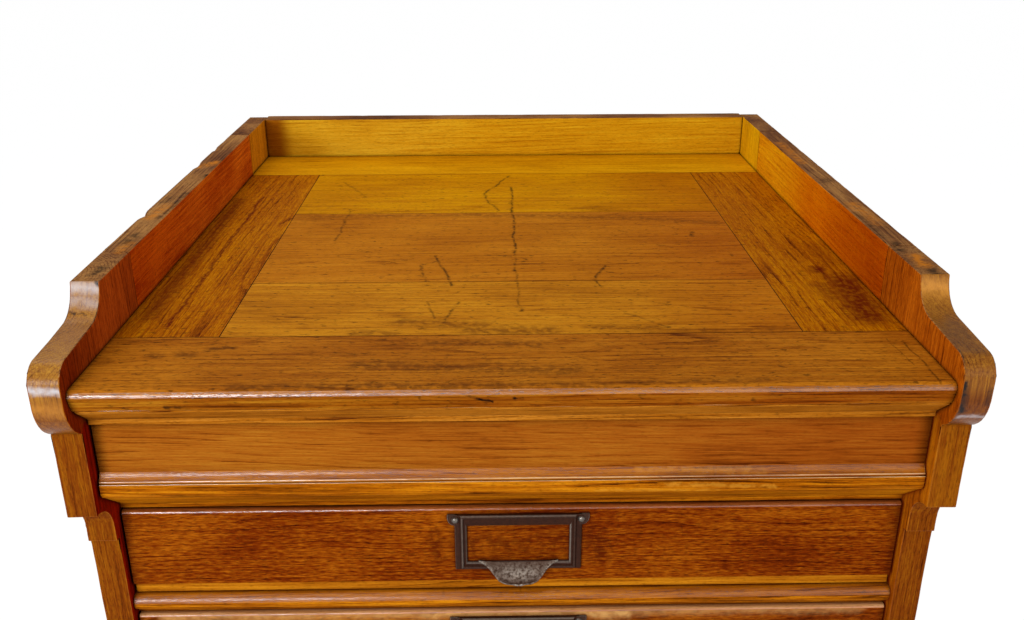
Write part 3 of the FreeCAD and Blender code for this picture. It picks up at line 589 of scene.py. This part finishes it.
eased("waxed_top_front_board", "top_front_board", "top_oak",
      {"plain": top_front_oak, "arris": top_arris, "polish": nosing_polish, "undercut": nosing_oak},
      arris=TOP_ARRIS, pick=nosing_finish, step=6, wear=0.35)
for node, finish in (("top_side_boards", top_side_oak), ("top_back_board", top_back_oak)):
    eased(f"waxed_{node}", node, "top_oak", {"plain": finish, "arris": top_arris}, arris=TOP_ARRIS)
eased("waxed_top_planks", "top_planks", "top_oak", {**plank_oaks, "arris": top_arris}, arris=TOP_ARRIS,
      pick=lambda number, face: "arris" if face.material_index else f"plank {number}")
eased("waxed_gallery_back_board", "gallery_back_board", "frame_oak",
      {"plain": gallery_back_oak, "edge": frame_edge_oak, "rear": frame_oak}, step=8, wear=0.4,
      pick=gallery_back_finish)

# Front mouldings. The bed moulding, frieze and cornice are planted on between the stiles, and the rails
# under the drawers carry a half-round bead. All are run in oak, and dusters have polished what faces up.
CORNICE_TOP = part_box("frieze_moulding")[1].z * 1000
# Golden streaks of sapwood at the right, by x and z in mm.
PALE_RUNS = ((90, CORNICE_TOP + 7, 180, CORNICE_TOP + 4, 5, 0.2),
             (110, CORNICE_TOP - 5, 190, CORNICE_TOP - 7, 3, 0.35),
             (60, CORNICE_TOP - 9, 150, CORNICE_TOP - 11, 2.5, 0.3))
pale_runs = marked((("D08C28", PALE_RUNS),), upright=True, specks=0.3)
# The undercut faces: straight-grained oak with long dark streaks, and painted shade with dirt darkening out
# of the corners.
moulding_oak = waxed_oak("waxed_moulding_oak", "BE7722", "A25C0F", "552206", rings=0.6, streaks=1.7,
                         fibres=1.1, reach=0.006, grime="4A1C04", marks=pale_runs)
cornice_oak = waxed_oak("waxed_cornice_oak", "C6780C", "9D5104", "491C00", rings=0.6, streaks=2.0,
                        fibres=1.3, tone=0.44, reach=0.006, grime="5A2204", marks=pale_runs)
# The frieze: a calmer, broad-ringed board with fine fibres, painted shade under the mouldings, and darker
# towards the right.
frieze_oak = waxed_oak("waxed_frieze_oak", "A86719", "934C0E", "4F1C02", rings=0.4, streaks=0.35,
                       ring_width=4.2, fibres=1.2, dashes=0.25, pores=0.25, reach=0.012, nooks=(0.55, 0.92),
                       fades=((0, -0.12, 0.28, "F0DCDC"),))
# What faces up: satin from dusting, and on the arrises a pale painted highlight under a sharp glossy one.
moulding_polish = waxed_oak("polished_moulding_oak", "B86C0C", "924C06", "562204", gloss=0.4, roughness=0.24,
                            dents=0.2, marks=pale_runs)
moulding_arris = waxed_oak("painted_highlight_moulding_arris", "D8A868", "B88048", "7A4420", gloss=0.8, roughness=0.18)


def moulding_finish(number, face):
    """What looks up and forward is polished, and arrises carry a bright painted highlight."""
    if face.normal.z < 0.2 or face.normal.y > -0.15:
        return "plain"
    return "arris" if face.material_index else "polish"


for node in ("bed_moulding", "frieze_board", "frieze_moulding", "front_rails"):
    plain = {"frieze_board": frieze_oak, "bed_moulding": moulding_oak}.get(node, cornice_oak)
    finishes = {"plain": plain, "polish": moulding_polish, "arris": moulding_arris}
    eased(f"waxed_{node}", node, "frame_oak", finishes, arris=FINE_ARRIS, pick=moulding_finish)

# Drawers. Each front is one oak board with a rounded upper arris and a stepped band below, stained darker
# than the rest. Behind it two dovetailed sides and a back of bare oak hold the bottom in their grooves.
# The bottoms' arrises are in mm, and the stepped band's height is in metres.
BOTTOM_ARRIS = 0.3
BAND_TALL = 0.0097
# By x and z in mm: each front is darker inside its label frame, and hands have darkened it on both sides of
# the pull.
PULL_MARKS = []
for number in range(1, 8):
    low, high = (1000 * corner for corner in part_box(f"drawer_{number}_pull"))
    middle = (low.z + high.z) / 2
    PULL_MARKS += [(-38, middle, 40, middle, 20, 0.5),
                   (low.x - 9, middle + 6, low.x - 7, middle - 12, 13, 0.55),
                   (high.x + 5, middle + 8, high.x + 9, middle - 12, 16, 0.65)]
# Every second front has a pale painted highlight along its upper edge, strongest above the pull, then on the
# left.
PAINTED_EDGE_HIGHLIGHTS = []
for number in (2, 4, 6):
    edge_at = 1000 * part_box(f"drawer_{number}_front")[1].z - 2
    PAINTED_EDGE_HIGHLIGHTS += [(-278, edge_at, 278, edge_at, 8, 0.3), (-278, edge_at, -60, edge_at, 8, 0.42),
                   (-62, edge_at - 1, 90, edge_at - 2, 8, 0.6)]
# The fronts: oak under red-brown shellac, full of short dark dashes, with painted shade and dirt darkening
# them towards the border and the pull's frame.
front_figure = {"pores": 0.6, "fibres": 0.7, "blotches": 1.2, "grime": "3A1002"}
drawer_oak = waxed_oak("waxed_drawer_front_oak", "A35509", "702701", "300500", streaks=0.4, dashes=1.5,
                       reach=0.016, nooks=(0.45, 0.97), **front_figure,
                       marks=marked((("4A1402", PULL_MARKS),), upright=True, specks=0.4))
# Every second front: a little more golden, darker towards the right, with the painted edge highlight.
pale_edged_oak = waxed_oak("waxed_golden_drawer_oak", "AC6412", "7C3606", "3A0E00", streaks=0.6, dashes=1.3,
                           reach=0.008, nooks=(0.45, 0.97), fades=((0, 0.0, 0.2, "E8D0C0"),), **front_figure,
                           marks=marked((("4A1402", PULL_MARKS), ("CC9858", PAINTED_EDGE_HIGHLIGHTS)), upright=True,
                                        specks=0.4, broken=0.8))
# The rounded arrises: bright from hands, and on every second front painted golden as a broad highlight.
drawer_polish = waxed_oak("polished_drawer_arris", "A85A20", "80380E", "4A1604", gloss=0.9, roughness=0.2)
pale_edged_polish = waxed_oak("polished_golden_drawer_arris", "D08C54", "A8602C", "5A2408", gloss=0.9,
                              roughness=0.3)
# The upper edges: painted pale so the gap above each front reads lighter than its shade and the lower fronts'
# edges catch a highlight, and on the top drawer painted darker as the shadow under the cornice.
lightened_drawer_edge_oak = waxed_oak("rubbed_drawer_edge_oak", "C89363", "AF7642", "7B4622", grime="7A3A10",
                            reach=0.002)
shaded_drawer_edge_oak = waxed_oak("shaded_drawer_edge_oak", "A4602C", "844418", "4A2008", reach=0.002)
# The bands: golden and streaky, since little stain took on the stepped moulding.
band_oak = waxed_oak("waxed_drawer_band_oak", "C67C14", "A25A0A", "5A2400", streaks=1.3)
# The boxes: planed oak without a finish, dull and greyish tan.
lining_oak = waxed_oak("bare_lining_oak", "C8A070", "A87C4C", "6E4A28")


def drawer_finish(number, face):
    """The upper edge has its own painted tone, the arris is polished, and the stepped band below is paler."""
    if face.normal.z > 0.6:
        return "edge"
    if face.normal.z > 0.1:
        return "polish"
    return "band" if face.calc_center_median().z < front_low.z + BAND_TALL else "plain"


for number in range(1, 8):
    drawer = f"drawer_{number}"
    front_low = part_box(f"{drawer}_front")[0]
    front, polish = (drawer_oak, drawer_polish) if number % 2 else (pale_edged_oak, pale_edged_polish)
    edge = shaded_drawer_edge_oak if number == 1 else lightened_drawer_edge_oak
    finishes = {"plain": front, "polish": polish, "band": band_oak, "edge": edge}
    eased(f"{drawer}_waxed_front", f"{drawer}_front", "drawer_front_oak", finishes, arris=FINE_ARRIS,
          pick=drawer_finish)
    eased(f"{drawer}_bare_box", f"{drawer}_box", "drawer_lining", {"plain": lining_oak}, arris=FINE_ARRIS)
    eased(f"{drawer}_bare_bottom", f"{drawer}_bottom", "drawer_lining", {"plain": lining_oak},
          arris=BOTTOM_ARRIS)

# Pulls. A label frame and finger pull, cast in one piece in iron, patinated brown and worn bright on the lip,
# held by a dome-headed screw through each ear. Sizes are in mm.
HALF_WIDE = 48.85
TALL = 50.0
END_BAR = 6.7
EAR_OUT = 5.65
EAR_IN = 2.0
EAR_SHOULDER = 3
EAR_ROUND = 6.5
PULL_FORWARD = 18.2
TONGUE_FROM = 2.2
TONGUE_DROP = 10.2
TONGUE_THICK = 1.5
TONGUE_DISH = 1.6
# The frame's section, from the outer edge inwards: how far in on the side bars, on the top bar and on the
# bottom bar, and how proud of the wood.
FRAME_SECTION = (
    (0, 0, 0, 0), (0, 0, 0, 1.5), (0.4, 0.2, 0.3, 2.0), (3.7, 0.4, 1.4, 2.2), (4.4, 0.6, 2.0, 3.3),
    (5.0, 1.0, 2.6, 4.3), (5.9, 1.6, 3.4, 4.5), (6.4, 2.2, 3.9, 4.0), (6.9, 3.0, 4.4, 2.9),
    (7.8, 6.4, 5.2, 2.4), (8.7, 9.2, 6.2, 2.2), (9.2, 9.8, 6.7, 1.5), (9.2, 9.8, 6.7, 0),
)
# How bright each line of that section is painted on the top, right, bottom and left bar: painted highlights
# where the light catches crests and edges.
BAR_HIGHLIGHTS = ((0, 0, 0, 0.12, 0.45, 0.04, 0, 0, 0, 0, 0, 0, 0),
            (0, 0.04, 0, 0, 0, 0.02, 0.03, 0.01, 0, 0, 0.35, 0.20, 0),
            (0, 0.02, 0, 0, 0, 0.02, 0.04, 0.01, 0, 0, 0.20, 0.10, 0),
            (0, 0.18, 0.01, 0, 0.01, 0.10, 0.15, 0.03, 0, 0, 0.10, 0.06, 0))
# Half the tongue's width at distances forward of where it starts.
TONGUE_PLAN = ((0, 31), (1.8, 26.5), (3.9, 23), (7.8, 19.3), (12.7, 15), (15.3, 10.5), (16.0, 0))


def patinated_iron(name, dark, brown, mottled, metallic=0.35):
    """Old cast iron under a brown patina that hides most of the metal: dark and satin, pitted by the sand of
    its mould, grey and mottled where fingers rub it and where a highlight is painted on it. The real pits are
    finer than the 1 mm that shows."""
    material, tree = new_material(name)
    here = add(tree, "ShaderNodeTexCoord", out="Object")
    cloudy = {"Vector": here, "Scale": 420, "Detail": 4.0, "Roughness": 0.65}
    mottle = add(tree, "ShaderNodeTexNoise", cloudy)
    pitted = add(tree, "ShaderNodeTexNoise", {"Vector": here, "Scale": 900, "Detail": 2.0})
    rubbed = add(tree, "ShaderNodeAttribute", out="Fac", attribute_name="rub")
    uneven = add(tree, "ShaderNodeMapRange", {0: mottle, 1: 0.38, 2: 0.62, 3: 1 - mottled, 4: 1 + mottled})
    bright = add(tree, "ShaderNodeMath", {0: rubbed, 1: uneven}, operation="MULTIPLY", use_clamp=True)
    patina = add(tree, "ShaderNodeMix", {0: mottle, 6: linear(dark), 7: linear(brown)}, 2, data_type="RGBA")
    colour = add(tree, "ShaderNodeMix", {0: bright, 6: patina, 7: linear("B8AC9C")}, 2, data_type="RGBA")
    shader = add(tree, "ShaderNodeBsdfPrincipled", {
        "Base Color": colour,
        "Metallic": metallic,
        "Specular IOR Level": 0.1,
        "Roughness": add(tree, "ShaderNodeMapRange", {0: pitted, 1: 0.3, 2: 0.7, 3: 0.28, 4: 0.5}),
        "Normal": add(tree, "ShaderNodeBump", {"Strength": 0.4, "Distance": 0.0003, "Height": pitted}),
    })
    add(tree, "ShaderNodeOutputMaterial", {"Surface": shader})
    return material


def cast_bars():
    """The label frame's four bars, mitred at the corners. Like the pull's other parts, this gives its points,
    right, forward and up from the top middle of the plate, its faces, and the wear and painted highlight at
    their corners."""
    points, faces, wear_and_highlights = [], [], []
    count = len(FRAME_SECTION)
    for right, up in ((-1, 0), (1, 0), (1, -1), (-1, -1)):
        for inwards, down, upwards, proud in FRAME_SECTION:
            points.append((right * (HALF_WIDE - inwards), proud, upwards - TALL if up else -down))
    for corner in range(4):
        here, there = corner * count, (corner + 1) % 4 * count
        for at in range(count):
            following = (at + 1) % count
            faces.append((here + at, here + following, there + following, there + at))
            outer, inner = BAR_HIGHLIGHTS[corner][at], BAR_HIGHLIGHTS[corner][following]
            wear_and_highlights += [outer, inner, inner, outer]
    return points, faces, wear_and_highlights


def cast_ear(side):
    """A quarter-round lobe outside an upper corner, with a softened edge."""
    points, faces, wear_and_highlights = [], [], []
    lobe = [(-EAR_IN, 0.0), (EAR_OUT, 0.0)]
    for turn in (0, 0.3, 0.6, 0.9, 1.2, 1.57):
        lobe.append((EAR_OUT * math.cos(turn), -EAR_SHOULDER - EAR_ROUND * math.sin(turn)))
    lobe.append((-EAR_IN, -EAR_SHOULDER - EAR_ROUND))
    # The softened edge carries a painted highlight.
    for proud, shrink, rub in ((0, 0, 0), (1.6, 0, 0.3), (2.1, 0.6, 0.02)):
        for out, down in lobe:
            aside = HALF_WIDE + out - shrink * (out > 0)
            points.append((side * aside, proud, down + shrink * (down < 0) / 2))
            wear_and_highlights.append(rub)
    size = len(lobe)
    for ring in (0, size):
        for at in range(size):
            low, next_low = ring + at, ring + (at + 1) % size
            faces.append((low, next_low, next_low + size, low + size))
    faces.append(tuple(2 * size + at for at in range(size)))
    faces.append(tuple(reversed(range(size))))
    return points, faces, [wear_and_highlights[at] for face in faces for at in face]


def half_width(forward):
    """Half the tongue's width, along the lines of its plan."""
    for (near, wide), (far, narrow) in zip(TONGUE_PLAN, TONGUE_PLAN[1:]):
        if forward <= far:
            return wide + (narrow - wide) * (forward - near) / (far - near)
    return 0.0


def cast_tongue():
    """The finger pull: a dished sheet that grows out of the bar under the window, with a painted highlight
    along its rim, and worn bright, partly a painted highlight, in the middle of its dish."""
    points, faces, wear_and_highlights = [], [], []
    rows, columns = 16, 24
    reach = PULL_FORWARD - TONGUE_FROM
    # The sheet drops fast, then levels out. It is dished from side to side, and its tip turns up again.
    for under in (0, 1):
        for row in range(rows + 1):
            forward = reach * math.sin(math.pi / 2 * row / rows)
            gone = forward / reach
            drop = TONGUE_DROP * (1 - (1 - gone) ** 1.7)
            wide = max(half_width(forward), 0.6)
            thick = TONGUE_THICK if row else 2 * TONGUE_THICK
            for column in range(columns + 1):
                aside = 2 * column / columns - 1
                dish = TONGUE_DISH * (abs(aside) ** 2.5) * min(1, wide / 8)
                tip = TONGUE_DISH * 0.6 * gone ** 4 * (1 - aside ** 2)
                points.append((aside * wide, TONGUE_FROM + forward - under * 0.6,
                               END_BAR - TALL - drop + dish + tip - under * thick))
                # A painted highlight runs along the rim; the middle of the dish is worn bright and partly
                # painted as a highlight.
                rim = max(abs(aside) ** 8, gone ** 14)
                middle = 0.42 * (1 - 0.8 * aside ** 2) * math.exp(-((gone - 0.5) / 0.32) ** 2)
                wear_and_highlights.append(0.0 if under else max(rim * 0.5, middle + 0.03))
    step = columns + 1
    sheet = (rows + 1) * step
    for row in range(rows):
        for column in range(columns):
            at = row * step + column
            faces.append((at, at + 1, at + 1 + step, at + step))
            faces.append((at + sheet, at + step + sheet, at + 1 + step + sheet, at + 1 + sheet))
    rim = [row * step for row in range(rows + 1)]
    rim += [rows * step + column for column in range(1, columns + 1)]
    rim += [row * step + columns for row in range(rows - 1, -1, -1)] + list(range(columns - 1, 0, -1))
    for here, there in zip(rim, rim[1:] + rim[:1]):
        faces.append((here, there, there + sheet, here + sheet))
    return points, faces, [wear_and_highlights[at] for face in faces for at in face]


# The cast iron where nobody touches it: a near black brown.
iron = patinated_iron("patinated_cast_iron", "140704", "42200F", 0.15, metallic=0.15)
# The same iron under fingers: half bare, so greyer and blotched.
handled_iron = patinated_iron("finger_worn_cast_iron", "2C1A10", "5A3A28", 0.85)
# Turned steel screws: bare metal, dulled by age.
screw_steel = patinated_iron("worn_screw_steel", "3A322C", "8C8278", 0.0, metallic=0.9)
pull_points, pull_faces, pull_wear_and_highlights, pull_irons = [], [], [], []
cast_parts = ((0, cast_bars()), (0, cast_ear(-1)), (0, cast_ear(1)), (1, cast_tongue()))
for fingered, (points, faces, wear_and_highlights) in cast_parts:
    pull_faces += [[len(pull_points) + at for at in face] for face in faces]
    pull_points += points
    pull_wear_and_highlights += wear_and_highlights
    pull_irons += [fingered] * len(faces)
for number in range(1, 8):
    drawer = f"drawer_{number}"
    low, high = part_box(f"{drawer}_pull")
    middle = (low.x + high.x) / 2
    placed = []
    for right, forward, up in pull_points:
        placed.append((middle + right / 1000, high.y - forward / 1000, high.z + up / 1000))
    mesh = bpy.data.meshes.new(f"{drawer}_cast_pull")
    mesh.from_pydata(placed, [], pull_faces)
    mesh.materials.append(iron)
    mesh.materials.append(handled_iron)
    mesh.polygons.foreach_set("material_index", pull_irons)
    mesh.attributes.new("rub", "FLOAT", "CORNER").data.foreach_set("value", pull_wear_and_highlights)
    shape = bmesh.new()
    shape.from_mesh(mesh)
    bmesh.ops.recalc_face_normals(shape, faces=shape.faces)
    shape.to_mesh(mesh)
    shape.free()
    mesh.shade_smooth()
    mesh.set_sharp_from_angle(angle=0.6)
    pull = new_object(f"{drawer}_cast_pull", mesh)
    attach(pull, drawer)
    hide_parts(f"{drawer}_pull")
    screws = frame["nodes"][f"{drawer}_screws"]
    screws.data.materials.clear()
    screws.data.materials.append(screw_steel)

# The stage. A plain pale paper floor, a soft window light from the left front with a softer fill from the
# right, two softboxes above, and the photograph's camera: lens in mm, place in metres and turn in degrees.
LENS = 35.43
CAMERA_AT = (-0.01107, -0.94124, 1.20085)
CAMERA_TURN = (67.6316, 0.1484, -0.9549)
FLOOR_OUT = 30
floor_mesh = bpy.data.meshes.new("floor")
floor_corners = [(x * FLOOR_OUT, y * FLOOR_OUT, 0) for x, y in ((-1, -1), (1, -1), (1, 1), (-1, 1))]
floor_mesh.from_pydata(floor_corners, [], [(0, 1, 2, 3)])
new_object("floor", floor_mesh)
# Matt paper, nearly white to the camera and in reflections, which still takes the chest's shadow.
paper, tree = new_material("pale_studio_paper")
seen = add(tree, "ShaderNodeLightPath", out="Is Camera Ray")
for ray in ("Is Glossy Ray", "Is Transmission Ray"):
    mirrored = add(tree, "ShaderNodeLightPath", out=ray)
    seen = add(tree, "ShaderNodeMath", {0: seen, 1: mirrored}, operation="MAXIMUM")
seen = add(tree, "ShaderNodeMath", {0: seen, 1: 0.88}, operation="MULTIPLY")
matt = add(tree, "ShaderNodeBsdfDiffuse", {"Color": linear("ECECEC")})
glow = add(tree, "ShaderNodeEmission", {"Color": (1, 1, 1, 1), "Strength": 1.1})
lit = add(tree, "ShaderNodeMixShader", {0: seen, 1: matt, 2: glow})
add(tree, "ShaderNodeOutputMaterial", {"Surface": lit})
floor_mesh.materials.append(paper)

world = bpy.data.worlds.new("studio")
bpy.context.scene.world = world
world.use_nodes = True
sky = world.node_tree.nodes["Background"]
sky.inputs["Color"].default_value = (0.97, 0.985, 1.0, 1)
sky.inputs["Strength"].default_value = 0.3

# Each lamp's place and aim in metres, its size and its power in watts.
LAMPS = {
    "overhead_softbox": ((-0.5, 0.7, 2.3), (0, 0.1, 0.9), (1.4, 1.2), 14),
    "ceiling_softbox": ((-0.6, -1.0, 2.9), (0, 0, 0.7), (1.6, 1.4), 10),
    "window_softbox": ((-1.15, -2.6, 1.45), (-0.1, 0, 0.8), (1.5, 0.65), 66),
    "room_softbox": ((1.5, -2.4, 1.6), (0.1, 0, 0.8), (2.2, 1.6), 16),
}
DAYLIGHT = (0.86, 0.93, 1.0)
for name, (at, aim, size, power) in LAMPS.items():
    lamp = bpy.data.lights.new(name, "AREA")
    lamp.shape = "RECTANGLE"
    lamp.size, lamp.size_y = size
    lamp.energy = power
    lamp.color = DAYLIGHT if name == "window_softbox" else (1, 1, 1)
    holder = new_object(name, lamp)
    holder.location = at
    holder.rotation_euler = (Vector(aim) - Vector(at)).to_track_quat("-Z", "Y").to_euler()

camera = new_object("camera", bpy.data.cameras.new("camera"))
camera.data.lens = LENS
camera.data.sensor_width = 36
camera.data.clip_end = 100
camera.location = CAMERA_AT
camera.rotation_euler = [math.radians(angle) for angle in CAMERA_TURN]
bpy.context.scene.camera = camera
bpy.context.scene.view_settings.view_transform = "Standard"
